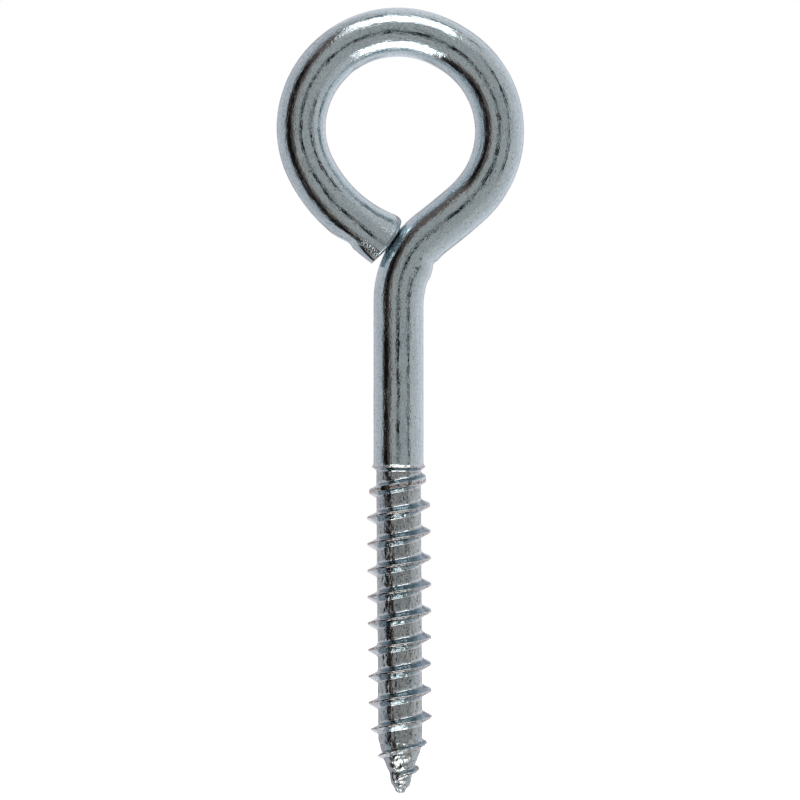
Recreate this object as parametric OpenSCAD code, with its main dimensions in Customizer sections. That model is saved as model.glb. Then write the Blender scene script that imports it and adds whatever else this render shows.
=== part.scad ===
// Screw eye: an open bent eye on a lag screw, cold formed from one length of plated steel wire.
// Millimetres. Z is the screw axis, z = 0 is the crest of the collar above the thread,
// the eye lies in the XZ plane and the point looks down.
//
// The wire is followed upwards from the collar. A bend is [radius, degrees]: degrees are
// positive when the wire turns towards +X (clockwise seen from -Y), negative the other way.

/* [Wire] */
// diameter of the drawn wire
wire_d = 6.35; // [6.1:0.05:6.6]
// straight shank from the collar crest to the start of the neck bend
shank_len = 21.0; // [12:0.5:30]

/* [Eye] */
// centreline radius of the neck bend that throws the wire to one side
neck_r = 11.03; // [10.8:0.05:11.3]
// angle of the neck bend
neck_bend_deg = 52.8; // [51.8:0.2:53.8]
// centreline radius of the nearly straight shoulder
shoulder_r = 68.4; // [62:1:76]
// centreline radius of the right half of the eye
right_r = 12.18; // [11.9:0.05:12.4]
// centreline radius of the slack stretch at the upper right, where two bends meet
brow_r = 15.2; // [14.5:0.1:16]
// centreline radius of the crown and the left side of the eye
left_r = 12.28; // [12:0.05:12.5]
// centreline radius of the lower left quarter, rolled a little tighter
heel_r = 11.51; // [11.2:0.05:11.8]
// centreline radius of the flatter tail that closes the eye
tail_r = 18.0; // [17:0.25:19]
// air left between the sheared end and the neck
end_gap = 0.06; // [0.04:0.02:0.3]
// how far the sheared lip stands below the wire
lip_proud = 0.42; // [0.2:0.05:0.6]
// how far the squeezed metal inside the neck stands out
bulge_proud = 0.22; // [0.1:0.02:0.4]

/* [Thread] */
// diameter over the thread crests
major_d = 8.06; // [7.6:0.05:8.6]
// diameter of the core under the thread
core_d = 5.65; // [5.4:0.05:5.9]
// axial distance from crest to crest
pitch = 3.351; // [3:0.05:3.7]
// width of the flat worn on top of the thread
crest_flat = 0.2; // [0.1:0.05:0.3]
// distance from the collar crest to the tip
thread_len = 41.4; // [36:0.5:50]
// length of the tapered point
point_len = 6.92; // [6:0.1:8]
// height of the thread where it winds round the point
point_crest = 0.69; // [0.5:0.05:0.8]
// diameter over the collar
collar_d = 6.84; // [6.75:0.05:7.1]

/* [Smoothness] */
// facets around a round section
round_fn = 96; // [48:24:144]
// steps in one turn of the thread
turn_steps = 36; // [24:6:48]

/* [Hidden] */
wire_r = wire_d / 2;
core_r = core_d / 2;
major_r = major_d / 2;
collar_r = collar_d / 2;
zinc = [0.74, 0.77, 0.79];
zinc_dark = [0.62, 0.65, 0.68];
worn = [0.66, 0.62, 0.57];

// how far the wire turns in each stretch after the neck
shoulder_deg = -4.8;
right_deg = -100.8;
brow_deg = -14.5;
crown_deg = -55.3;
left_deg = -45;
heel_deg = -38.4;
tail_deg = -34.4;
tail_end_deg = -14;

// the bends, in order from the top of the shank
neck = [neck_r, neck_bend_deg];
shoulder = [shoulder_r, shoulder_deg];
right_side = [right_r, right_deg];
brow = [brow_r, brow_deg];
crown = [left_r, crown_deg];
left_side = [left_r, left_deg];
heel = [heel_r, heel_deg];
tail = [tail_r, tail_deg];
tail_end = [tail_r, tail_end_deg];
bends = [neck, shoulder, right_side, brow, crown, left_side, heel, tail, tail_end];

// a wire state is [x, z, heading], heading in degrees from +Z towards +X
function right_x(heading) = cos(heading);
function right_z(heading) = -sin(heading);
function side_of(bend) = bend[1] > 0 ? 1 : -1;
function centre_x(state, bend) = state[0] + side_of(bend) * bend[0] * right_x(state[2]);
function centre_z(state, bend) = state[1] + side_of(bend) * bend[0] * right_z(state[2]);
function after(state, bend) =
    let (turned = state[2] + bend[1])
    [
        centre_x(state, bend) - side_of(bend) * bend[0] * right_x(turned),
        centre_z(state, bend) - side_of(bend) * bend[0] * right_z(turned),
        turned
    ];
function state_at(count) =
    count == 0 ? [0, shank_len, 0] : after(state_at(count - 1), bends[count - 1]);
function arc_start(state, bend) =
    bend[1] > 0 ? 180 - state[2] - bend[1] : -state[2];

neck_cx = centre_x(state_at(0), neck);
neck_cz = centre_z(state_at(0), neck);

// the shear plane of the cut end: it looks down and to the right
cut_deg = 46.5;
cut_x = -3.38;
cut_z = shank_len + 4.74;
cut_block = 12;

// above it the face was pressed flatter against the neck
press_deg = 35.6;
press_x = -1.46;
press_z = shank_len + 6.56;

// how far the air gap is cut past both ends of the neck bend
clear_deg = 4;

// the lip rolled over the underside by the shear
lip_r = 2.75;
lip_start_deg = 0.5;
lip_sweep_deg = 13;

// the metal squeezed out on the inside of the neck bend
bulge_r = 2.1;
bulge_deg = 26;

// the thread
flank_deg = 30;
full_h = major_r - core_r;
root_sink = 0.05;
first_crest = 1.5;
lead_turns = 0.3;
start_share = 0.04;
quick_turns = 0.25;
quick_gain = 1.8;
slow_gain = 0.45;
thread_top = -(first_crest - lead_turns * pitch);
point_top = -(thread_len - point_len);
fade_top = point_top + 2.8;
fade_len = 2.9;
waist_r = 1.36;
waist_len = 1.98;
waist_z = -(thread_len - waist_len);
waist_share = 0.9;
die_z = waist_z - 0.15;
die_len = 1.1;
die_share = 0.95;

// the blunt tip, as [radius, distance from the tip]
tip_shoulder = [1.05, 1.2];
tip_side = [0.85, 0.75];
tip_round = [0.58, 0.3];
tip_flat = [0.34, 0.08];

// the collar
collar_rise = 0.52;
collar_drop = 0.6;
collar_half = 0.1;
collar_ease = 0.04;

// one bent stretch of wire, the bend with this number
module stretch(number) {
    state = state_at(number);
    bend = bends[number];
    translate([centre_x(state, bend), 0, centre_z(state, bend)])
        rotate([90, 0, 0])
            rotate([0, 0, arc_start(state, bend)])
                rotate_extrude(angle = abs(bend[1]), $fn = round_fn)
                    translate([bend[0], 0])
                        circle(r = wire_r, $fn = round_fn);
}

// straight drawn wire between the collar and the neck
module shank() {
    color(zinc)
        translate([0, 0, collar_rise])
            cylinder(r = wire_r, h = shank_len - collar_rise, $fn = round_fn);
}

// ridge thrown up where the thread rolling stops
module thread_collar() {
    color(zinc_dark)
        rotate_extrude($fn = round_fn)
            polygon([
                [0, collar_rise],
                [wire_r, collar_rise],
                [collar_r - collar_ease, collar_half],
                [collar_r, 0],
                [collar_r - collar_ease, -collar_half],
                [core_r, -collar_drop],
                [0, -collar_drop]
            ]);
}

// parallel core under the thread
module thread_core() {
    color(zinc_dark)
        translate([0, 0, point_top])
            cylinder(r = core_r, h = -collar_drop - point_top, $fn = round_fn);
}

// tapered point with a blunt rolled tip
module point_core() {
    color(zinc_dark)
        rotate_extrude($fn = round_fn)
            polygon([
                [0, point_top],
                [core_r, point_top],
                [waist_r, waist_z],
                [tip_shoulder[0], -(thread_len - tip_shoulder[1])],
                [tip_side[0], -(thread_len - tip_side[1])],
                [tip_round[0], -(thread_len - tip_round[1])],
                [tip_flat[0], -(thread_len - tip_flat[1])],
                [0, -thread_len]
            ]);
}

// radius of the core at a height, parallel first and then tapering
function core_at(z) =
    z > point_top ? core_r
    : max(waist_r * waist_share, core_r + (waist_r - core_r) * (point_top - z) / (point_top - waist_z));

// share of a length already covered, from 0 to 1
function ramp(done, length) = min(1, max(0, done / length));

// the thread comes up quickly over the first quarter turn and then slowly to its full height
function run_in(z) =
    let (turns = (thread_top - z) / pitch)
    let (quick = quick_gain * min(turns, quick_turns))
    let (slow = slow_gain * max(0, turns - quick_turns))
    min(1, start_share + quick + slow);

// it is lower round the point, and dies out above the tip
function fade(z) = full_h + (point_crest - full_h) * ramp(fade_top - z, fade_len);
function die_out(z) = 1 - die_share * ramp(die_z + die_len - z, die_len);
function height_at(z) = fade(z) * run_in(z) * die_out(z);

// the V is cut off flat where it has not been rolled to full height
function base_half(z) = crest_flat / 2 + fade(z) * tan(flank_deg);
function top_half(z) = crest_flat / 2 + fade(z) * (1 - run_in(z)) * tan(flank_deg);

// one section across the ridge: inner upper, outer upper, outer lower, inner lower
function ridge(z) =
    let (angle = 360 * (z + first_crest) / pitch)
    let (inner = core_at(z) - root_sink)
    let (outer = core_at(z) + height_at(z))
    [
        [inner * cos(angle), inner * sin(angle), z + base_half(z)],
        [outer * cos(angle), outer * sin(angle), z + top_half(z)],
        [outer * cos(angle), outer * sin(angle), z - top_half(z)],
        [inner * cos(angle), inner * sin(angle), z - base_half(z)]
    ];

// a right-hand ridge wound down from one height to another
module helix(z_from, z_to) {
    steps = ceil((z_from - z_to) / pitch * turn_steps);
    corners = [for (i = [0:steps]) each ridge(z_from + (z_to - z_from) * i / steps)];
    sides = [
        for (i = [0:steps - 1], j = [0:3])
            let (a = 4 * i)
            let (b = 4 * (i + 1))
            let (k = (j + 1) % 4)
            each [[a + j, a + k, b + k], [a + j, b + k, b + j]]
    ];
    last = 4 * steps;
    caps = [[3, 2, 1, 0], [last, last + 1, last + 2, last + 3]];
    polyhedron(points = corners, faces = concat(sides, caps), convexity = 20);
}

// full thread from the run-in to the start of the point
module screw_thread() {
    color(worn)
        helix(thread_top, point_top);
}

// lower thread that winds round the taper and dies out
module point_thread() {
    color(worn)
        helix(point_top, die_z);
}

// bend that throws the wire aside, with the metal squeezed out on its inside
module neck_bend() {
    reach = neck_r - wire_r - bulge_proud + bulge_r;
    color(zinc) {
        stretch(0);
        translate([neck_cx - reach * cos(bulge_deg), 0, neck_cz + reach * sin(bulge_deg)])
            sphere(r = bulge_r, $fn = round_fn);
    }
}

// nearly straight shoulder leading into the eye
module eye_shoulder() {
    color(zinc)
        stretch(1);
}

// right side of the eye
module eye_right() {
    color(zinc)
        stretch(2);
}

// short slack stretch at the upper right
module eye_brow() {
    color(zinc)
        stretch(3);
}

// top of the eye
module eye_crown() {
    color(zinc)
        stretch(4);
}

// left side of the eye
module eye_left() {
    color(zinc)
        stretch(5);
}

// lower left quarter of the eye
module eye_heel() {
    color(zinc)
        stretch(6);
}

// flatter tail that brings the wire back towards the neck
module eye_tail() {
    color(zinc)
        stretch(7);
}

// everything past a plane through this point, facing this far below +X
module past_plane(x, z, deg) {
    translate([x, 0, z])
        rotate([0, deg, 0])
            translate([0, -cut_block / 2, -cut_block])
                cube([cut_block, cut_block, 2 * cut_block]);
}

// the neck swollen by the air gap
module neck_clearance() {
    translate([neck_cx, 0, neck_cz])
        rotate([90, 0, 0])
            rotate([0, 0, 180 - neck_bend_deg - clear_deg])
                rotate_extrude(angle = neck_bend_deg + clear_deg, $fn = round_fn)
                    translate([neck_r, 0])
                        circle(r = wire_r + end_gap, $fn = round_fn);
}

// lip on the underside, a thinner sleeve set off towards the outside of the bend
module lip() {
    state = state_at(8);
    bend = bends[8];
    off = wire_r - lip_r + lip_proud;
    translate([centre_x(state, bend), 0, centre_z(state, bend)])
        rotate([90, 0, 0])
            rotate([0, 0, arc_start(state, bend) + lip_start_deg])
                rotate_extrude(angle = lip_sweep_deg, $fn = round_fn)
                    translate([tail_r + off, 0])
                        circle(r = lip_r, $fn = round_fn);
}

// sheared end of the wire, coped where it was pressed up against the neck
module wire_end() {
    color(zinc_dark)
        difference() {
            union() {
                stretch(8);
                lip();
            }
            past_plane(cut_x, cut_z, cut_deg);
            past_plane(press_x, press_z, press_deg);
            neck_clearance();
        }
}

shank();
thread_collar();
thread_core();
screw_thread();
point_core();
point_thread();
neck_bend();
eye_shoulder();
eye_right();
eye_brow();
eye_crown();
eye_left();
eye_heel();
eye_tail();
wire_end();
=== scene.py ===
# %% [markdown]
# # A screw eye in bright zinc
#
# A screw eye is one length of drawn steel wire. One end is bent round into an open eye, the other has
# a wood thread rolled into it, and the whole thing is then zinc plated. Being metal, it shows little of
# its own and a lot of the studio around it, so three things decide the look: a surface without kinks,
# a studio with the right bright and dark places, and a plate that is not quite perfect.
#
# The sizes are typed in below and are those of the CAD model, apart from a few small changes that bending
# and rolling made. Everything here is in metres with Z up the screw, and z = 0 is the collar.

# %% Open the frame
import math

import bmesh
import bpy
from mathutils import Matrix, Vector, noise


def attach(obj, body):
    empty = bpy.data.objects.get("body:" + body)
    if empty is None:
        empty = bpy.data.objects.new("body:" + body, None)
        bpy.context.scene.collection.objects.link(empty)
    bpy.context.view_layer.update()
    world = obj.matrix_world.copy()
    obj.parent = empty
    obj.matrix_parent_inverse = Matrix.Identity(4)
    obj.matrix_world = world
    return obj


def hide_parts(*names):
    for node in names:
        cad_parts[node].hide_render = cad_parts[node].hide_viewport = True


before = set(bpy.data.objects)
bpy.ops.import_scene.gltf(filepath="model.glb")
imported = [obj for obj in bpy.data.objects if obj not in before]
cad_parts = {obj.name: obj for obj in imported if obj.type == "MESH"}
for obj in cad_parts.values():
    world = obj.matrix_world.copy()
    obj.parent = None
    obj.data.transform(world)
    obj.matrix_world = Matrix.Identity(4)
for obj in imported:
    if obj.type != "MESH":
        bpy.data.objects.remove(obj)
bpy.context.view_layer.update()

MM = 0.001
scene = bpy.context.scene

# %% [markdown]
# ## Colours and nodes
#
# Colours are written as sRGB hex, the way a paint card gives them, and one function turns them into the
# linear values that shaders work in. A second one adds a node, sets it and links it in one call, which
# keeps each material short enough to read.


# %% Hex colours
def srgb(code):
    """A hex colour such as #E2EFF3 as linear RGBA."""
    parts = [int(code[i : i + 2], 16) / 255 for i in (1, 3, 5)]
    linear = [p / 12.92 if p <= 0.04045 else ((p + 0.055) / 1.055) ** 2.4 for p in parts]
    return (*linear, 1.0)


print("bright zinc in linear values", [round(c, 2) for c in srgb("#DAEAF0")])


# %% Add a node, set it and link it
def add(tree, kind, settings=None, **inputs):
    """A new node. Inputs are values or sockets, by the socket's name with _ for a space, or in0, in1."""
    node = tree.nodes.new("ShaderNode" + kind)
    for key, value in (settings or {}).items():
        setattr(node, key, value)
    for key, value in inputs.items():
        socket = node.inputs[int(key[2:])] if key[2:].isdigit() else node.inputs[key.replace("_", " ")]
        if isinstance(value, bpy.types.NodeSocket):
            tree.links.new(value, socket)
        else:
            socket.default_value = value
    return node


# %% [markdown]
# ## The zinc finishes
#
# Bright zinc plate on drawn wire is a thin metal coat with a cool, faintly blue shine. It follows every
# mark of the steel below, so the drawing lines run along the wire, and the crystals of the plate leave
# a fine tooth that breaks up the edge of each reflection.
#
# An image of scratches would have to be unwrapped onto fifteen pieces. Noise needs no image, but it has
# to follow the wire round its bends. So every piece carries an attribute called straight, which is where
# each point was before the wire was bent, and all the patterns are laid out on that.

# %% The patterns of the plate, each from a real size
# name: size across and along the wire in mm, then the noise's detail, its roughness and a shift
PATTERNS = {
    "film": (0.9, 5.0, 3.0, 0.6, 0.0),  # thicker and thinner plate, drawn out along the wire
    "stain": (0.5, 1.6, 4.0, 0.65, 7.0),  # warm water marks left by the last rinse
    "specks": (0.22, 0.34, 1.0, 0.5, 11.0),  # dirt caught in pits
    "flecks": (0.19, 0.30, 1.0, 0.5, 17.0),  # lighter and darker crystals of plate
    "tooth": (0.20, 0.32, 2.0, 0.65, 0.0),  # the tooth that those crystals give the surface
    "patches": (1.0, 3.0, 2.0, 0.6, 19.0),  # where that tooth is stronger or weaker
    "lines": (0.34, 4.0, 2.0, 0.55, 3.0),  # drawing lines
    "dents": (0.75, 1.1, 3.0, 0.6, 5.0),  # knocks from other parts in the plating barrel
    "chips": (0.30, 0.16, 2.0, 0.6, 13.0),  # bare and bright places along the crest
    "flank_shade_clouds": (0.8, 0.5, 2.0, 0.6, 23.0),  # uneven strength of the painted shade on the upper flank
}
# Real zinc crystals are a few thousandths of a millimetre and real drawing lines a few hundredths. Both
# are too fine to show from this far away, so they are drawn at 0.2 and 0.3 mm.
print(len(PATTERNS), "patterns")


def on_straight_wire(tree, what):
    """One of the patterns as noise on the straight wire."""
    across, along, detail, rough, shift = PATTERNS[what]
    place = add(tree, "Attribute", {"attribute_name": "straight"}).outputs["Vector"]
    squeezed = add(
        tree,
        "Mapping",
        Vector=place,
        Location=(shift, shift, shift),
        Scale=(1 / (across * MM), 1 / (across * MM), 1 / (along * MM)),
    )
    grains = add(tree, "TexNoise", Vector=squeezed.outputs[0], Scale=1.0, Detail=detail, Roughness=rough)
    return grains.outputs[0]


# %% The colour of the plate
def plate_colour(tree, base, cool, warm, dirt, dirt_from):
    """The plate's colour with cooler film, warm stains and dark specks laid over it in turn."""
    colour = srgb(base)
    for what, low, high, most, tint in (
        ("film", 0.42, 0.66, 0.55, cool),
        ("stain", 0.56, 0.74, 0.5, warm),
        ("specks", dirt_from, dirt_from + 0.07, 0.75, dirt),
    ):
        share = add(tree, "MapRange", in0=on_straight_wire(tree, what), in1=low, in2=high, in3=0.0, in4=most)
        mixed = add(tree, "Mix", {"data_type": "RGBA"}, in0=share.outputs[0], in6=colour, in7=srgb(tint))
        colour = mixed.outputs[2]
    return colour


# %% [markdown]
# ### Painted shade and wear on the thread
#
# The upper flank of the thread is painted darker and bluer, a painted shade, and a noise makes that
# shade patchy. The crest rubs against everything in the box: there the plate is grey-brown and chipped.
# Both are painted by attributes that the thread carries, because only the mesh knows where its crest is.


# %% The upper flank and the crest
def thread_shade_and_wear(tree, colour, crest_colour):
    """The colour with a painted shade on the upper flank and worn plate along the crest."""
    flank_shade_clouds = add(tree, "MapRange", in0=on_straight_wire(tree, "flank_shade_clouds"), in1=0.35, in2=0.65, in3=0.7, in4=1.0)
    flank = add(tree, "Attribute", {"attribute_name": "upper_flank_painted_shade"}).outputs["Fac"]
    flank_shade_share = add(tree, "Math", {"operation": "MULTIPLY"}, in0=flank, in1=flank_shade_clouds.outputs[0])
    # Painted shade: the upper flank is multiplied by blue-grey #869DA9, made patchy by noise.
    darker = add(
        tree,
        "Mix",
        {"data_type": "RGBA", "blend_type": "MULTIPLY"},
        in0=flank_shade_share.outputs[0],
        in6=colour,
        in7=srgb("#869DA9"),
    )
    chipped = add(tree, "MapRange", in0=on_straight_wire(tree, "chips"), in1=0.38, in2=0.52, in3=0.0, in4=1.0)
    rim = add(
        tree,
        "Mix",
        {"data_type": "RGBA"},
        in0=chipped.outputs[0],
        in6=srgb(crest_colour),
        in7=srgb("#E4DDD7"),
    )
    crest = add(tree, "Attribute", {"attribute_name": "crest"}).outputs["Fac"]
    worn = add(tree, "Mix", {"data_type": "RGBA"}, in0=crest, in6=darker.outputs[2], in7=rim.outputs[2])
    return worn.outputs[2]


# %% The relief of the plate
def plate_relief(tree, tooth, lines, dents):
    """Three bumps on top of each other. The heights are in mm."""
    patches = on_straight_wire(tree, "patches")
    uneven = add(tree, "MapRange", in0=patches, in1=0.38, in2=0.62, in3=0.35, in4=1.6).outputs[0]
    grains = on_straight_wire(tree, "tooth")
    patchy = add(tree, "Math", {"operation": "MULTIPLY"}, in0=grains, in1=uneven).outputs[0]
    below = {}
    for pattern, height in (
        (on_straight_wire(tree, "dents"), dents),
        (on_straight_wire(tree, "lines"), lines),
        (patchy, tooth),
    ):
        bump = add(tree, "Bump", Strength=1.0, Distance=height * MM, Height=pattern, **below)
        below = {"Normal": bump.outputs[0]}
    return bump.outputs[0]


# %% One zinc material
def zinc_material(name, base, cool, warm, dirt, tooth, lines, dents, roughness, dirt_from=0.68, crest=None):
    """Zinc plate. tooth, lines and dents are the heights of its relief in mm."""
    material = bpy.data.materials.new(name)
    material.use_nodes = True
    tree = material.node_tree
    tree.nodes.clear()
    colour = plate_colour(tree, base, cool, warm, dirt, dirt_from)
    # With a crest colour, the worn crest and the painted shade on the upper flank are added.
    if crest is not None:
        colour = thread_shade_and_wear(tree, colour, crest)
    flecks = add(tree, "MapRange", in0=on_straight_wire(tree, "flecks"), in1=0.3, in2=0.7, in3=0.84, in4=1.10)
    flecked = add(tree, "VectorMath", {"operation": "SCALE"}, in0=colour, in3=flecks.outputs[0])
    shine = add(
        tree,
        "MapRange",
        in0=on_straight_wire(tree, "tooth"),
        in1=0.35,
        in2=0.7,
        in3=roughness - 0.02,
        in4=roughness + 0.06,
    )
    metal = add(
        tree,
        "BsdfPrincipled",
        Base_Color=flecked.outputs[0],
        Metallic=1.0,
        Roughness=shine.outputs[0],
        Normal=plate_relief(tree, tooth, lines, dents),
    )
    add(tree, "OutputMaterial", Surface=metal.outputs[0])
    print(name, "has", len(tree.nodes), "nodes")
    return material


# %% The four finishes
# Drawn wire is the smoothest: the eye sees sharp reflections with a grainy edge.
bright_zinc_plate = zinc_material(
    "bright_zinc_plate_on_drawn_wire",
    base="#DAEAF0",
    cool="#C9DFE9",
    warm="#D9CCC2",
    dirt="#5A6064",
    tooth=0.021,
    lines=0.014,
    dents=0.018,
    roughness=0.05,
)
# The dies leave the core dented and a little dirty: its reflections are broken, and browner.
rolled_zinc_plate = zinc_material(
    "zinc_plate_on_rolled_core",
    base="#C8D0D1",
    cool="#B0C6D2",
    warm="#A08E77",
    dirt="#2C2824",
    tooth=0.022,
    lines=0.029,
    dents=0.125,
    roughness=0.045,
    dirt_from=0.63,
)
# The flanks slid along the dies, so they are brighter than the core, with a thin worn line on top.
# Its upper flank is also painted darker and bluer: a painted shade.
worn_crest_shaded_flank_zinc = zinc_material(
    "zinc_plate_worn_at_crest_painted_shade_on_flank",
    base="#E6EEF1",
    cool="#C2D8E4",
    warm="#CABFB6",
    dirt="#4A4644",
    tooth=0.013,
    lines=0.010,
    dents=0.030,
    roughness=0.04,
    crest="#47403B",
)
# Torn steel under plate is dull and grey: it shows no reflection with an edge.
sheared_zinc_face = zinc_material(
    "zinc_plate_on_sheared_face",
    base="#AEB9BE",
    cool="#93A7B1",
    warm="#A3968A",
    dirt="#4A4644",
    tooth=0.05,
    lines=0.04,
    dents=0.09,
    roughness=0.30,
)

# %% [markdown]
# ## The wire
#
# The real wire was bent cold round pins, so its centre line is a chain of arcs. A bend is a radius and
# an angle, and each arc starts where the last one ended, heading the same way. A curve object with a
# round bevel would follow the same line, but it couldn't carry the marks of the bending.

# %% The sizes of the wire
WIRE_R = 3.175 * MM
SHANK_LEN = 21.0 * MM
# piece, radius in mm, degrees to the right or to the left
BENDS = [
    ("neck_bend", 11.03, 52.8),
    ("eye_shoulder", 68.4, -4.8),
    ("eye_right", 12.18, -100.8),
    ("eye_brow", 15.2, -14.5),
    ("eye_crown", 12.28, -55.3),
    ("eye_left", 12.28, -45.0),
    ("eye_heel", 11.51, -38.4),
    ("eye_tail", 18.0, -34.4),
    ("wire_end", 18.0, -14.0),
]
print(len(BENDS), "bends, together", round(sum(b[2] for b in BENDS), 1), "degrees")


# %% One bend
class Bend:
    """One arc of the wire, and the way from a bent point to the straight wire and back."""

    def __init__(self, name, radius, degrees, x, z, heading, along):
        self.name, self.radius, self.turn = name, radius * MM, math.radians(degrees)
        self.side = 1 if degrees > 0 else -1
        self.x, self.z, self.heading, self.along = x, z, heading, along
        self.cx = x + self.side * self.radius * math.cos(heading)
        self.cz = z - self.side * self.radius * math.sin(heading)
        self.first = math.atan2(x - self.cx, z - self.cz)
        self.length = abs(self.turn) * self.radius
        self.stop = along + self.length

    def straighten(self, co):
        """(sideways, y, along) of a point of this bend on the straight wire."""
        dx, dz = co.x - self.cx, co.z - self.cz
        angle = math.atan2(dx, dz) - self.first
        angle = (angle + math.pi) % (2 * math.pi) - math.pi
        return self.side * (self.radius - math.hypot(dx, dz)), co.y, self.along + abs(angle) * self.radius

    def bend(self, sideways, y, along):
        """Where that point of the straight wire is once the wire is bent."""
        reach = self.radius - self.side * sideways
        angle = self.first + self.side * (along - self.along) / self.radius
        return Vector((self.cx + reach * math.sin(angle), y, self.cz + reach * math.cos(angle)))


# %% Follow the chain
def follow(bends):
    """Each bend starts where the one before it ended."""
    x, z, heading, along = 0.0, SHANK_LEN, 0.0, SHANK_LEN
    chain = []
    for name, radius, degrees in bends:
        arc = Bend(name, radius, degrees, x, z, heading, along)
        end = arc.bend(0, 0, arc.stop)
        x, z, heading, along = end.x, end.z, heading + arc.turn, arc.stop
        chain.append(arc)
    return chain


chain = follow(BENDS)
by_name = {arc.name: arc for arc in chain}
NECK, TAIL, TAIL_END = by_name["neck_bend"], by_name["eye_tail"], by_name["wire_end"]
print("wire length above the collar, mm:", round(TAIL_END.stop / MM, 1))

# %% [markdown]
# ## What bending did to the wire
#
# Wire stretches a little as it is wrapped, so the eye is a hair thinner than the shank. Where the neck
# is bent hardest, metal is squeezed out on the inside and then pinched where the die let go. A flat
# where the bending pin pressed shows at the upper left, and the tail was pressed straight at the end.
#
# These moves are made on the straight wire, as changes of its radius, so neighbouring pieces agree
# where they meet. Sculpting each piece by hand would open gaps between them.


# %% Smooth steps and noise
def ease(x, start, end):
    """0 before start, 1 after end, and a smooth change between them."""
    t = min(1.0, max(0.0, (x - start) / (end - start)))
    return t * t * (3 - 2 * t)


def hump(x, middle, half_width):
    """1 at the middle, falling smoothly to 0 at half_width on either side."""
    return ease(half_width - abs(x - middle), 0, half_width)


def grain(x, y, z, size):
    """Smooth noise from -1 to 1 whose lumps are about this size, in metres."""
    return noise.noise(Vector((x, y, z)) / size)


print("a hump at its middle, halfway and at its end:", [hump(x, 0, 1) for x in (0, 0.5, 1)])

# %% The radius of the worked wire
THIN = 3.12 / 3.175
THIN_FROM = 9 * MM
PIN_FLAT = by_name["eye_crown"].stop + 1.2 * MM
STRAIGHT_FROM = TAIL.along + 7.6 * MM
SHEAR_BITE = 2.17


def squeezed_out(to_right, past_neck):
    """How far the metal stands out on the inside of the neck, in mm."""
    bulge = 0.12 * hump(past_neck, 1.8, 2.6) + 0.27 * hump(past_neck, 4.6, 2.3)
    pinch = 0.17 * hump(past_neck, 6.9, 0.9)
    return ease(to_right, 0.35, 1.0) * bulge - ease(to_right, 0.2, 1.0) * pinch


def dragged_out(to_right, past_cut):
    """The ledge and the lip that the shear dragged out along the underside of the end, in mm."""
    ledge = 0.40 * ease(past_cut, -1.0, -0.05) - 0.30 * ease(past_cut, -3.4, -1.0)
    lip = 0.52 * min(1.2, max(0.0, past_cut / SHEAR_BITE))
    return ease(to_right, 0.62, 0.88) * (ledge + lip)


def worked(sideways, y, along):
    """The point of the straight wire after drawing and bending have left their marks on it."""
    radius = math.hypot(sideways, y)
    if radius < 1e-6:
        return sideways, y
    to_right = sideways / radius
    past_neck = (along - NECK.along) / MM
    wrinkles = 0.026 * grain(sideways, y, along, 0.9 * MM) + 0.010 * grain(sideways, y, along + 1, 0.35 * MM)
    bulk = 0.010 * grain(sideways, y, along, 3.1 * MM)
    bulk += squeezed_out(to_right, past_neck)
    bulk += wrinkles * ease(to_right, -0.25, 0.4) * hump(past_neck, 5.0, 3.4)
    bulk -= 0.05 * ease(-to_right, 0.5, 1.0) * hump((along - PIN_FLAT) / MM, 0, 1.4)
    bulk += dragged_out(to_right, (along - TAIL_END.along) / MM)
    scale = 1 + (THIN - 1) * ease(along, NECK.along, NECK.along + THIN_FROM) + bulk * MM / WIRE_R
    pressed = max(0.0, along - STRAIGHT_FROM) ** 2 / (2 * TAIL.radius)
    return sideways * scale + pressed * abs(y / WIRE_R) ** 1.2, y * scale


print("metal stands out at the neck by", round(squeezed_out(1.0, 4.6), 2), "mm")

# %% [markdown]
# ## A finished piece
#
# A mesh made in a bmesh still has to become an object, ride on its body and take the place of its CAD
# node. One helper does that for every piece. It also marks edges sharper than a limit, so that a cut
# face stays crisp while the round of the wire shades smoothly, and it counts the edges that don't have
# two faces. A closed mesh has none.

# %% Turn a bmesh into a finished piece
SHARP = math.radians(38)


def make_piece(name, bm, slot, *materials):
    """A bmesh becomes an object that stands for the CAD node of the same name."""
    bmesh.ops.recalc_face_normals(bm, faces=bm.faces)
    open_edges = sum(1 for e in bm.edges if len(e.link_faces) != 2)
    mesh = bpy.data.meshes.new("zinc_" + name)
    bm.to_mesh(mesh)
    bm.free()
    mesh.shade_smooth()
    mesh.set_sharp_from_angle(angle=SHARP)
    for material in materials:
        mesh.materials.append(material)
    piece = bpy.data.objects.new("zinc_" + name, mesh)
    scene.collection.objects.link(piece)
    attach(piece, "root")
    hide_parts(name)
    print(f"{piece.name}: {len(mesh.polygons)} faces, {open_edges} open edges")
    return piece


# %% [markdown]
# ## Sweep the wire
#
# A disc is swept along each arc with bmesh's spin, which is the same motion as the bending bench: it
# keeps every ring on the true arc and closes both ends. The rings are a ninth of a millimetre apart, so
# that the marks of the bending have enough points to show.

# %% Spin a disc along a bend
ROUND = 96
RING_GAP = 0.11 * MM


def sweep_bend(arc):
    """A disc spun about the bend's centre: one stretch of wire, closed at both ends."""
    bm = bmesh.new()
    start = Matrix.Translation((arc.x, 0, arc.z)) @ Matrix.Rotation(arc.heading, 4, "Y")
    bmesh.ops.create_circle(bm, cap_ends=True, segments=ROUND, radius=WIRE_R, matrix=start)
    bmesh.ops.spin(
        bm,
        geom=bm.verts[:] + bm.edges[:] + bm.faces[:],
        cent=(arc.cx, 0, arc.cz),
        axis=(0, 1, 0),
        angle=arc.turn,
        steps=math.ceil(arc.length / RING_GAP),
    )
    bm.verts.index_update()
    return bm


def tag_straight(bm, place=lambda v: v.co.copy()):
    """Writes the place on the straight wire of every vertex, for the materials."""
    layer = bm.verts.layers.float_vector.new("straight")
    for v in bm.verts:
        v[layer] = place(v)


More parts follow.
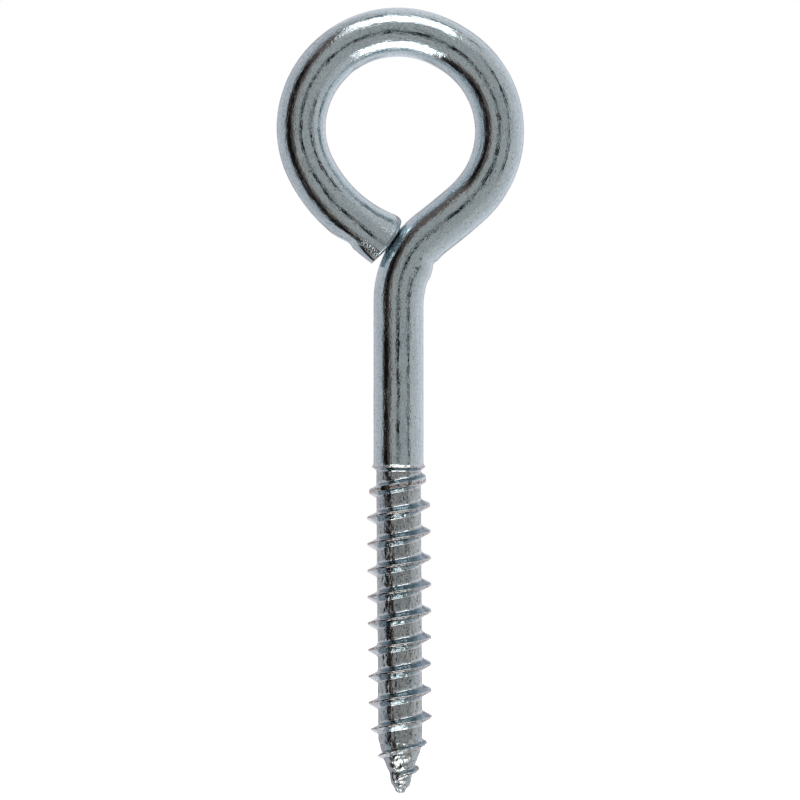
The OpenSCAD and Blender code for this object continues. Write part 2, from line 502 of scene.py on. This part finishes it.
# %% The neck and the eye
for arc in chain[:-1]:
    bm = sweep_bend(arc)
    places = {v.index: arc.straighten(v.co) for v in bm.verts}
    tag_straight(bm, lambda v: places[v.index])
    for v in bm.verts:
        sideways, y, along = places[v.index]
        v.co = arc.bend(*worked(sideways, y, along), along)
    make_piece(arc.name, bm, "bright_zinc_wire", bright_zinc_plate)

# %% The plain shank
COLLAR_RISE = 0.52 * MM
shank_steps = math.ceil((SHANK_LEN - COLLAR_RISE) / RING_GAP)
bm = bmesh.new()
foot = Matrix.Translation((0, 0, COLLAR_RISE))
bmesh.ops.create_circle(bm, cap_ends=True, segments=ROUND, radius=WIRE_R, matrix=foot)
bmesh.ops.spin(
    bm,
    geom=bm.verts[:] + bm.edges[:] + bm.faces[:],
    cent=(0, 0, 0),
    axis=(0, 0, 1),
    dvec=(0, 0, (SHANK_LEN - COLLAR_RISE) / shank_steps),
    angle=0,
    steps=shank_steps,
)
tag_straight(bm)
for v in bm.verts:
    v.co.x, v.co.y = worked(v.co.x, v.co.y, v.co.z)
make_piece("shank", bm, "bright_zinc_wire", bright_zinc_plate)

# %% [markdown]
# ## The sheared end
#
# The wire was cropped by a shear that came in from below: the face slants, a lip of metal is dragged
# out along the underside, and the last bit of the wire was then pressed up against the neck. Cutting
# with booleans would leave ragged triangles along a shiny edge. Instead each line along the wire is
# shortened until it meets the shear plane, the press plane or the neck, so the sweep keeps its rings.

# %% What stops the wire
CUT_POINT = Vector((-3.38, 0, 25.74)) * MM
CUT_WAY = Vector((math.cos(math.radians(46.5)), 0, -math.sin(math.radians(46.5))))
PRESS_POINT = Vector((-1.46, 0, 27.56)) * MM
PRESS_WAY = Vector((math.cos(math.radians(35.6)), 0, -math.sin(math.radians(35.6))))
END_GAP = 0.06 * MM
CORNER_R = 1.8 * MM
RIM_R = 0.34 * MM


def stopped(along, sideways, y):
    """Whether this place of the end lies past the shear, past the press, in the neck or past the sweep."""
    point = TAIL_END.bend(*worked(sideways, y, along), along)
    from_neck = math.hypot(math.hypot(point.x - NECK.cx, point.z - NECK.cz) - NECK.radius, point.y)
    return (
        (point - CUT_POINT).dot(CUT_WAY) > 0
        or (point - PRESS_POINT).dot(PRESS_WAY) > 0
        or from_neck < WIRE_R + END_GAP
        or along > TAIL_END.stop
    )


def rounded(past, radius):
    """How far a rounded corner of this radius drops back, this far past where it starts."""
    past = min(max(0.0, past), radius)
    return radius - math.sqrt(radius**2 - past**2)


def line_end(sideways, y):
    """How far along the straight wire this line reaches, with the top corner and the rim rounded."""
    along, step = TAIL_END.along, 0.32 * MM
    while step > 0.01 * MM:
        if stopped(along + step, sideways, y):
            step /= 2
        else:
            along += step
    rim = rounded(math.hypot(sideways, y) - WIRE_R + RIM_R, RIM_R) * ease(-sideways / WIRE_R, -0.9, 0.1)
    return along - rounded(-sideways - WIRE_R + CORNER_R, CORNER_R) - rim


print("the middle line ends", round((TAIL_END.stop - line_end(0, 0)) / MM, 2), "mm short of the sweep")

# %% Shorten every line to its own end
# The far cap gets rings of its own by insets, close together near the rim, where it is rounded.
RIM_RINGS = [0.03, 0.05, 0.07, 0.09, 0.12]
FACE_RINGS = [0.2] * 13

bm = sweep_bend(TAIL_END)
caps = [f for f in bm.faces if len(f.verts) > 4]
far_cap = max(caps, key=lambda f: TAIL_END.straighten(f.calc_center_median())[2])
for ring in RIM_RINGS + FACE_RINGS:
    bmesh.ops.inset_region(bm, faces=[far_cap], thickness=ring * MM, use_even_offset=True)
bm.verts.index_update()
places = {v.index: TAIL_END.straighten(v.co) for v in bm.verts}
tag_straight(bm, lambda v: places[v.index])
ends = {}
for v in bm.verts:
    sideways, y, along = places[v.index]
    line = (round(sideways / MM, 3), round(y / MM, 3))
    if line not in ends:
        ends[line] = line_end(sideways, y)
    share = (along - TAIL_END.along) / TAIL_END.length
    moved = TAIL_END.along + share * (ends[line] - TAIL_END.along)
    v.co = TAIL_END.bend(*worked(sideways, y, moved), moved)
for f in bm.faces:
    if all(places[v.index][2] > TAIL_END.along + 0.999 * TAIL_END.length for v in f.verts):
        f.material_index = 1
make_piece("wire_end", bm, "bright_zinc_wire", bright_zinc_plate, sheared_zinc_face)

# %% [markdown]
# ## The collar, the core and the point
#
# Thread rolling squeezes the wire down to the core and throws the spare metal up as the thread. Where
# the dies stop, a ridge is left all round: the collar. All three are round about the screw axis, so a
# profile is drawn once and spun a full turn, as on a lathe. The dies leave small laps and dents, which
# are real dips in the mesh and not only bump.

# %% Sizes of the screw
CORE_R, CREST_R = 2.825 * MM, 4.03 * MM
PITCH = 3.351 * MM
FIRST_CREST = 1.5 * MM
THREAD_LEN, POINT_LEN = 41.4 * MM, 6.92 * MM
COLLAR_DROP = 0.6 * MM
POINT_TOP = -(THREAD_LEN - POINT_LEN)
WAIST_R, WAIST_Z = 1.36 * MM, -(THREAD_LEN - 1.98 * MM)
LEAN = 0.0068
print("the screw leans", round(math.degrees(math.atan(LEAN)), 2), "degrees from the shank")


# %% Turn a profile about the screw axis
def spaced(points, gap):
    """The corner points with extra points about gap apart on each side between them."""
    profile = [points[0]]
    for (r0, z0), (r1, z1) in zip(points, points[1:]):
        count = max(1, math.ceil(math.hypot(r1 - r0, z1 - z0) / gap))
        profile += [(r0 + (r1 - r0) * i / count, z0 + (z1 - z0) * i / count) for i in range(1, count + 1)]
    return profile


def turned(profile, segments):
    """A profile of (radius, z) points spun a full turn, with its ends on the axis."""
    bm = bmesh.new()
    points = [bm.verts.new((r, 0, z)) for r, z in profile]
    for a, b in zip(points, points[1:]):
        bm.edges.new((a, b))
    bmesh.ops.spin(
        bm,
        geom=bm.verts[:] + bm.edges[:],
        cent=(0, 0, 0),
        axis=(0, 0, 1),
        angle=2 * math.pi,
        steps=segments,
        use_merge=True,
    )
    bmesh.ops.remove_doubles(bm, verts=bm.verts, dist=0.001 * MM)
    bmesh.ops.recalc_face_normals(bm, faces=bm.faces)
    return bm


# %% Marks of the rolling dies
def die_marks(x, y, z):
    """Depth of the laps and dents at this place of the core."""
    dents = max(0.0, grain(x, y, z, 0.75 * MM) - 0.28) * 0.16 * MM
    laps = max(0.0, grain(x * 2.6, y * 2.6, z * 0.8, 0.9 * MM) - 0.24) * 0.26 * MM
    waves = 0.012 * MM * grain(x, y, z, 2.2 * MM)
    return dents + laps + waves


def push_in(v, depth):
    """Moves a vertex this far towards the screw axis."""
    share = 1 - depth / math.hypot(v.co.x, v.co.y)
    v.co.x, v.co.y = v.co.x * share, v.co.y * share


def lean(bm):
    """The rolled part leans a little to the right of the plain shank."""
    for v in bm.verts:
        v.co.x -= v.co.z * LEAN if v.co.z < 0 else 0


# %% The collar
COLLAR = [
    (0, COLLAR_RISE),
    (WIRE_R, COLLAR_RISE),
    (WIRE_R + 0.02 * MM, 0.36 * MM),
    (WIRE_R + 0.09 * MM, 0.2 * MM),
    (WIRE_R + 0.19 * MM, 0.07 * MM),
    (WIRE_R + 0.22 * MM, 0),
    (WIRE_R + 0.19 * MM, -0.07 * MM),
    (WIRE_R + 0.02 * MM, -0.22 * MM),
    (CORE_R + 0.16 * MM, -0.38 * MM),
    (CORE_R + 0.04 * MM, -0.5 * MM),
    (CORE_R, -COLLAR_DROP),
    (0, -COLLAR_DROP),
]
bm = turned(spaced(COLLAR, 0.06 * MM), 192)
tag_straight(bm)
worn_line = bm.verts.layers.float.new("crest")
for v in bm.verts:
    if math.hypot(v.co.x, v.co.y) > 2.0 * MM:
        v[worn_line] = 0.85 * hump(v.co.z / MM, 0, 0.14)
        near = hump(v.co.z / MM, 0, 0.5)
        wave = grain(v.co.x, v.co.y, 0, 1.3 * MM) + 0.5 * grain(v.co.x, v.co.y, 3, 0.5 * MM)
        v.co.z += near * 0.12 * MM * wave
        push_in(v, -near * 0.035 * MM * grain(v.co.x, v.co.y, 9, 0.7 * MM))
lean(bm)
make_piece("thread_collar", bm, "rolled_zinc_core", worn_crest_shaded_flank_zinc)

# %% The parallel core
CORE = spaced([(CORE_R, -COLLAR_DROP), (CORE_R, POINT_TOP)], 0.13 * MM)
bm = turned([(0, -COLLAR_DROP)] + CORE + [(0, POINT_TOP)], 128)
tag_straight(bm)
for v in bm.verts:
    if math.hypot(v.co.x, v.co.y) > 1 * MM:
        push_in(v, die_marks(v.co.x, v.co.y, v.co.z))
lean(bm)
make_piece("thread_core", bm, "rolled_zinc_core", rolled_zinc_plate)

# %% The point
# The dies don't close on the point, so it is lumpier than the core. The tip is a small blunt cone.
POINT = [
    (0, POINT_TOP),
    (CORE_R, POINT_TOP),
    (2.45 * MM, -36.0 * MM),
    (2.1 * MM, -37.1 * MM),
    (1.8 * MM, -37.9 * MM),
    (1.45 * MM, -38.7 * MM),
    (WAIST_R, WAIST_Z),
    (1.31 * MM, -39.75 * MM),
    (1.1 * MM, -40.3 * MM),
    (0.76 * MM, -40.75 * MM),
    (0.52 * MM, -41.15 * MM),
    (0.28 * MM, -41.35 * MM),
    (0, -41.4 * MM),
]
bm = turned(spaced(POINT, 0.09 * MM), 112)
tag_straight(bm)
for v in bm.verts:
    if math.hypot(v.co.x, v.co.y) > 0.2 * MM and v.co.z < POINT_TOP - 0.01 * MM:
        lumps = 0.15 * grain(*v.co, 0.95 * MM) + 0.04 * grain(v.co.x, v.co.y, v.co.z + 1, 0.4 * MM) - 0.05
        depth = die_marks(*v.co) * 1.2 + lumps * MM
        push_in(v, depth * ease(POINT_TOP - v.co.z, 0, 0.5 * MM))
lean(bm)
make_piece("point_core", bm, "rolled_zinc_core", rolled_zinc_plate)

# %% [markdown]
# ## The thread
#
# A rolled wood thread is one thin ridge wound round the core. Its section is a narrow V with a hollow
# at the root of its upper flank and a worn crest. The Screw modifier could wind it, but its ends and
# its crest need shaping turn by turn, so the section is drawn once and spun with a step down, which is
# what dvec does. The ridge then gets what rolling gives a real one: a run-in below the collar, a lower
# height round the point, and a crest that isn't even.

# %% The section of the ridge
CREST_HALF = 0.1 * MM
CREST_ROUND = 0.11 * MM
UPPER_FLANK, UPPER_HOLLOW = 25.0, 0.56 * MM
LOWER_FLANK, LOWER_HOLLOW = 30.0, 0.24 * MM
FULL_H = CREST_R - CORE_R
ROOT_SINK = 0.05 * MM


def half_section(flank, hollow):
    """One side of the ridge from root to crest, as (offset from the crest line, radius) points."""
    slope = math.tan(math.radians(flank))
    toe = CREST_HALF + FULL_H * slope + hollow * math.tan(math.radians(45 - flank / 2))
    root = [math.radians(270 - (90 - flank) * i / 7) for i in range(8)]
    side = [(toe, CORE_R - ROOT_SINK)]
    side += [(toe + hollow * math.cos(a), CORE_R + hollow * (1 + math.sin(a))) for a in root]
    crest = [math.radians(flank + (90 - flank) * i / 4) for i in range(5)]
    middle = CREST_HALF - CREST_ROUND * 0.6
    top = [(middle + CREST_ROUND * math.cos(a), CREST_R - CREST_ROUND * (1 - math.sin(a))) for a in crest]
    (h0, r0), (h1, r1) = side[-1], top[0]
    flat = [(h0 + (h1 - h0) * i / 6, r0 + (r1 - r0) * i / 6) for i in range(1, 6)]
    return side + flat + top


lower_side = [(-h, r) for h, r in reversed(half_section(LOWER_FLANK, LOWER_HOLLOW))]
RIDGE = half_section(UPPER_FLANK, UPPER_HOLLOW) + lower_side
print("the ridge's section has", len(RIDGE), "points")

# %% Heights along the thread
THREAD_TOP = -(FIRST_CREST - 0.3 * PITCH)
FADE_TOP, FADE_LEN, POINT_CREST = POINT_TOP + 2.8 * MM, 2.9 * MM, 0.69 * MM
DIE_Z, DIE_LEN = WAIST_Z - 0.15 * MM, 1.1 * MM
CHEW_TOP = POINT_TOP + 1.4 * MM


def core_at(z):
    """Radius of the core under the ridge. It tapers along the point."""
    if z > POINT_TOP:
        return CORE_R
    taper = (POINT_TOP - z) / (POINT_TOP - WAIST_Z)
    return max(WAIST_R * 0.9, CORE_R + (WAIST_R - CORE_R) * taper)


def run_in(z):
    """Share of its height that the ridge has reached below the collar."""
    turns = (THREAD_TOP - z) / PITCH
    return min(1.0, 0.04 + 1.8 * min(turns, 0.25) + 0.45 * max(0.0, turns - 0.25))


def fade(z):
    """Height of a full ridge, which drops towards the point."""
    done = min(1.0, max(0.0, (FADE_TOP - z) / FADE_LEN))
    return FULL_H + (POINT_CREST - FULL_H) * done


def die_out(z):
    """Share of its height that the ridge keeps where it ends on the point."""
    return 1 - 0.95 * min(1.0, max(0.0, (DIE_Z + DIE_LEN - z) / DIE_LEN))


print("ridge height at the collar, in the middle and on the point, mm:")
print([round(fade(z) * run_in(z) / MM, 2) for z in (THREAD_TOP, POINT_TOP / 2, WAIST_Z)])

# %% Wind the ridge
THREAD_STEPS = 120


def wind(z_from, z_to):
    """The section spun down the core from one height to another."""
    start = 2 * math.pi * (z_from + FIRST_CREST) / PITCH
    turns = (z_from - z_to) / PITCH
    steps = math.ceil(turns * THREAD_STEPS)
    bm = bmesh.new()
    corners = [bm.verts.new((r * math.cos(start), r * math.sin(start), z_from + h)) for h, r in RIDGE]
    bm.faces.new(corners)
    bmesh.ops.spin(
        bm,
        geom=bm.verts[:] + bm.edges[:] + bm.faces[:],
        cent=(0, 0, 0),
        axis=(0, 0, 1),
        dvec=(0, 0, -(z_from - z_to) / steps),
        angle=-turns * 2 * math.pi,
        steps=steps,
    )
    return bm


# %% Shape the ridge
SPREAD = math.tan(math.radians(30))
FULL_HALF_WIDTH = CREST_HALF + FULL_H * SPREAD


def crest_wear(share, offset):
    """Where the plate is worn: along the crest, on its lower side. share is how high up the ridge."""
    below_top = ease(offset, 0.11 * MM, 0.02 * MM) * ease(offset, -0.34 * MM, -0.2 * MM)
    return ease(share, 0.92, 0.99) * below_top


def upper_flank_painted_shade(share, offset):
    """Where the shade is painted: on the upper flank, between the root and the crest."""
    return ease(share, 0.02, 0.15) * ease(share, 1.0, 0.84) * (offset > 0)


def shape_ridge(bm):
    """Gives the wound ridge its run-in, its lower height round the point and its rough crest."""
    worn = bm.verts.layers.float.new("crest")
    flank_shade_layer = bm.verts.layers.float.new("upper_flank_painted_shade")
    for v in bm.verts:
        x, y = v.co.x, v.co.y
        angle = math.atan2(y, x)
        turn = (v.co.z + FIRST_CREST) / PITCH - angle / (2 * math.pi)
        offset = (turn - round(turn)) * PITCH
        z = v.co.z - offset
        raised = math.hypot(x, y) - CORE_R
        new_offset = offset * (CREST_HALF + fade(z) * SPREAD) / FULL_HALF_WIDTH
        if raised > 0:
            crest = fade(z) * run_in(z) * die_out(z)
            near_top = ease(raised / FULL_H, 0.55, 1.0)
            raised *= fade(z) / FULL_H
            v[worn] = crest_wear(raised / crest, offset)
            # the mask of the painted shade on the upper flank
            v[flank_shade_layer] = upper_flank_painted_shade(raised / crest, offset)
            chewed = ease(CHEW_TOP - z, 0, 1.2 * MM)
            rough = (0.025 + 0.17 * chewed) * MM * grain(x, y, z, (0.5 + 0.2 * chewed) * MM)
            over = max(0.0, raised - crest)
            raised += near_top * rough * min(1.0, crest / (0.5 * FULL_H)) - 0.94 * over
            new_offset += near_top * (0.05 + 0.09 * chewed) * MM * grain(x, y, z + 5, 0.8 * MM)
        new_z = z + new_offset
        core = core_at(new_z)
        low = 1 - min(1.0, max(0.0, raised) / (0.5 * MM))
        radius = core + raised - low * die_marks(core * math.cos(angle), core * math.sin(angle), new_z)
        v.co = (radius * math.cos(angle), radius * math.sin(angle), new_z)


# %% The thread in two pieces
for name, z_from, z_to in (("screw_thread", THREAD_TOP, POINT_TOP), ("point_thread", POINT_TOP, DIE_Z)):
    bm = wind(z_from, z_to)
    shape_ridge(bm)
    tag_straight(bm)
    lean(bm)
    make_piece(name, bm, "zinc_thread_crest", worn_crest_shaded_flank_zinc)

# %% [markdown]
# ## The studio
#
# Small hardware is shot in a light tent: white cloth all round with two soft boxes on it, one above and
# one below the lens. The metal mirrors all of that, so the tent is built as a world whose brightness
# depends on the direction, with dark places where there is no cloth: the open left side, a seam on the
# right and the gap for the lens. The world is plain white where the camera looks straight at it.
#
# A ready-made studio picture would light the wire too, but its reflections would sit where that studio
# had its lamps, and each band on polished metal has to be put in its own place.


# %% Directions around the object
def towards(sideways, up):
    """The direction this many degrees to the right of the lens and above it."""
    a, b = math.radians(sideways), math.radians(up)
    return Vector((math.sin(a) * math.cos(b), -math.cos(a) * math.cos(b), math.sin(b)))


print("straight above the lens by 90 degrees is", [round(c, 2) for c in towards(0, 90)])

# %% The cloth of the tent
# place from the lens round to the back, and the brightness there
CLOTH = [(0.0, 0.36), (0.06, 0.36), (0.15, 0.38), (0.28, 0.49), (0.5, 0.55), (0.7, 0.68), (1.0, 0.80)]

world = bpy.data.worlds.new("light_tent")
scene.world = world
world.use_nodes = True
tent = world.node_tree
tent.nodes.clear()
looking = add(tent, "TexCoord").outputs["Generated"]
away = add(tent, "SeparateXYZ", Vector=looking).outputs["Y"]
round_back = add(tent, "MapRange", in0=away, in1=-1.0, in2=1.0, in3=0.0, in4=1.0)
cloth = add(tent, "ValToRGB", Fac=round_back.outputs[0])
stops = cloth.color_ramp.elements
while len(stops) < len(CLOTH):
    stops.new(0.5)
for stop, (place, level) in zip(stops, CLOTH):
    stop.position = place
    stop.color = (level * (1.03 + 0.02 * place), level, level * (0.98 + 0.06 * place), 1)
print("the cloth has", len(stops), "stops")


# %% A patch of the tent
def patch(sideways, up, half_wide, half_high, soft):
    """1 inside a rectangle of the tent and 0 outside it, with soft edges, in degrees."""
    forward = towards(sideways, up)
    right = Vector((0, 0, 1)).cross(forward).normalized()
    above = forward.cross(right).normalized()
    ahead = add(tent, "VectorMath", {"operation": "DOT_PRODUCT"}, in0=looking, in1=forward).outputs["Value"]
    inside = []
    for axis, half in ((right, half_wide), (above, half_high)):
        across = add(tent, "VectorMath", {"operation": "DOT_PRODUCT"}, in0=looking, in1=axis).outputs["Value"]
        turned_by = add(tent, "Math", {"operation": "ARCTAN2"}, in0=across, in1=ahead).outputs[0]
        angle = add(tent, "Math", {"operation": "ABSOLUTE"}, in0=turned_by).outputs[0]
        edge = add(
            tent,
            "MapRange",
            {"interpolation_type": "SMOOTHSTEP"},
            in0=angle,
            in1=math.radians(half - soft),
            in2=math.radians(half + soft),
            in3=1.0,
            in4=0.0,
        )
        inside.append(edge.outputs[0])
    return add(tent, "Math", {"operation": "MULTIPLY"}, in0=inside[0], in1=inside[1]).outputs[0]


# %% Hang the patches in the tent
# (degrees to the right, degrees up, half width, half height, softness), then the red, green and blue left
TENT_PLACES = [
    ((-57, 0, 22, 64, 4), (0.25, 0.21, 0.20)),  # the open side
    ((-60, -8, 11.5, 46, 4), (0.07, 0.07, 0.08)),  # the dark room through it
    ((-34, 0, 5, 60, 4), (1.02, 0.92, 0.84)),  # warm hem of the cloth
    ((-82, 0, 5, 60, 4), (0.84, 0.92, 1.0)),  # cool hem
    ((-125, 0, 34, 85, 20), (0.78, 0.78, 0.79)),  # back left, further from the lamps
    ((47.5, 10, 4.3, 26, 1.4), (0.02, 0.02, 0.03)),  # seam on the right
    ((-1.5, 0, 5.4, 7.0, 2.0), (0.01, 0.01, 0.01)),  # gap for the lens
    ((0, 88, 44, 2.8, 1.4), (0.05, 0.05, 0.05)),  # rod across the top
    ((117, 0, 3, 60, 2), (0.84, 0.86, 0.92)),  # fold on the right
    ((162, -6, 7, 40, 3), (0.56, 0.57, 0.60)),  # frame of the tent behind the object
    ((-156, -6, 4.5, 40, 2), (0.45, 0.45, 0.47)),  # its other leg
]
left_over = cloth.outputs[0]
for where, share in TENT_PLACES:
    shade = add(
        tent,
        "Mix",
        {"data_type": "RGBA", "blend_type": "MULTIPLY"},
        in0=patch(*where),
        in6=left_over,
        in7=(*share, 1),
    )
    left_over = shade.outputs[2]
print(len(TENT_PLACES), "patches in the tent")

# %% Show the tent to the metal and plain white to the camera
seen = add(tent, "LightPath").outputs["Is Camera Ray"]
cloth_light = add(tent, "Background", Color=left_over, Strength=1.0)
plain_white = add(tent, "Background", Color=(1, 1, 1, 1), Strength=1.0)
either = add(tent, "MixShader", in0=seen, in1=cloth_light.outputs[0], in2=plain_white.outputs[0])
add(tent, "OutputWorld", Surface=either.outputs[0])
print("the tent has", len(tent.nodes), "nodes")

# %% The two soft boxes
BOX_DISTANCE = 1.6
BOX_COLOUR = (1.0, 0.985, 0.96)
MIDDLE = Vector((0, 0, 0.008))


def soft_box(name, up, half_wide, half_high, level):
    """An area light that fills this patch of directions, seen from the middle of the object."""
    light = bpy.data.lights.new(name, "AREA")
    light.shape = "RECTANGLE"
    light.size = 2 * BOX_DISTANCE * math.tan(math.radians(half_wide))
    light.size_y = 2 * BOX_DISTANCE * math.tan(math.radians(half_high))
    light.energy = level * math.pi * light.size * light.size_y
    light.color = BOX_COLOUR
    box = bpy.data.objects.new(name, light)
    scene.collection.objects.link(box)
    way = towards(0, up)
    box.location = MIDDLE + way * BOX_DISTANCE
    box.rotation_euler = way.to_track_quat("Z", "Y").to_euler()
    print(name, "power", round(light.energy, 1))


soft_box("soft_box_above", up=66, half_wide=25.5, half_high=14.5, level=1.6)
soft_box("soft_box_below", up=-62.5, half_wide=25.5, half_high=15.5, level=2.3)

# %% [markdown]
# ### The floor
#
# The screw stands free above pale backdrop paper. The paper glows evenly, as paper does when it is lit
# until it burns out, and the metal doesn't mirror it, because its light is already in the tent.

# %% The pale floor
FLOOR_R = 0.6
FLOOR_GAP = 1.5 * MM

bm = bmesh.new()
bmesh.ops.create_circle(bm, cap_ends=True, segments=96, radius=FLOOR_R)
bmesh.ops.translate(bm, verts=bm.verts, vec=(0, 0, -THREAD_LEN - FLOOR_GAP))
floor_mesh = bpy.data.meshes.new("pale_floor")
bm.to_mesh(floor_mesh)
bm.free()
pale_floor = bpy.data.objects.new("pale_floor", floor_mesh)
scene.collection.objects.link(pale_floor)
paper = bpy.data.materials.new("white_backdrop_paper")
paper.use_nodes = True
paper_shader = paper.node_tree.nodes["Principled BSDF"]
paper_shader.inputs["Base Color"].default_value = srgb("#F4F4F4")
paper_shader.inputs["Emission Color"].default_value = (1, 1, 1, 1)
paper_shader.inputs["Emission Strength"].default_value = 1.0
floor_mesh.materials.append(paper)
pale_floor.visible_glossy = False
pale_floor.visible_shadow = False
pale_floor.visible_diffuse = False
print("the floor lies", round(FLOOR_GAP / MM, 1), "mm below the tip")

# %% [markdown]
# ## The camera
#
# A long lens from 0.8 m away, level with the middle of the object, keeps the upright parts upright and
# shows almost no perspective. The view transform is the standard one, so white paper stays white.

# %% The camera
CAMERA_DISTANCE = 0.8
VIEW_WIDTH = 0.1014
VIEW_MIDDLE = (0.000196, 0.00843)

lens = bpy.data.cameras.new("long_lens")
lens.sensor_width = 36.0
lens.lens = lens.sensor_width * CAMERA_DISTANCE / VIEW_WIDTH
camera = bpy.data.objects.new("long_lens", lens)
scene.collection.objects.link(camera)
camera.location = (VIEW_MIDDLE[0], -CAMERA_DISTANCE, VIEW_MIDDLE[1])
camera.rotation_euler = (math.radians(90), 0, 0)
scene.camera = camera
scene.view_settings.view_transform = "Standard"
print("lens", round(lens.lens), "mm")
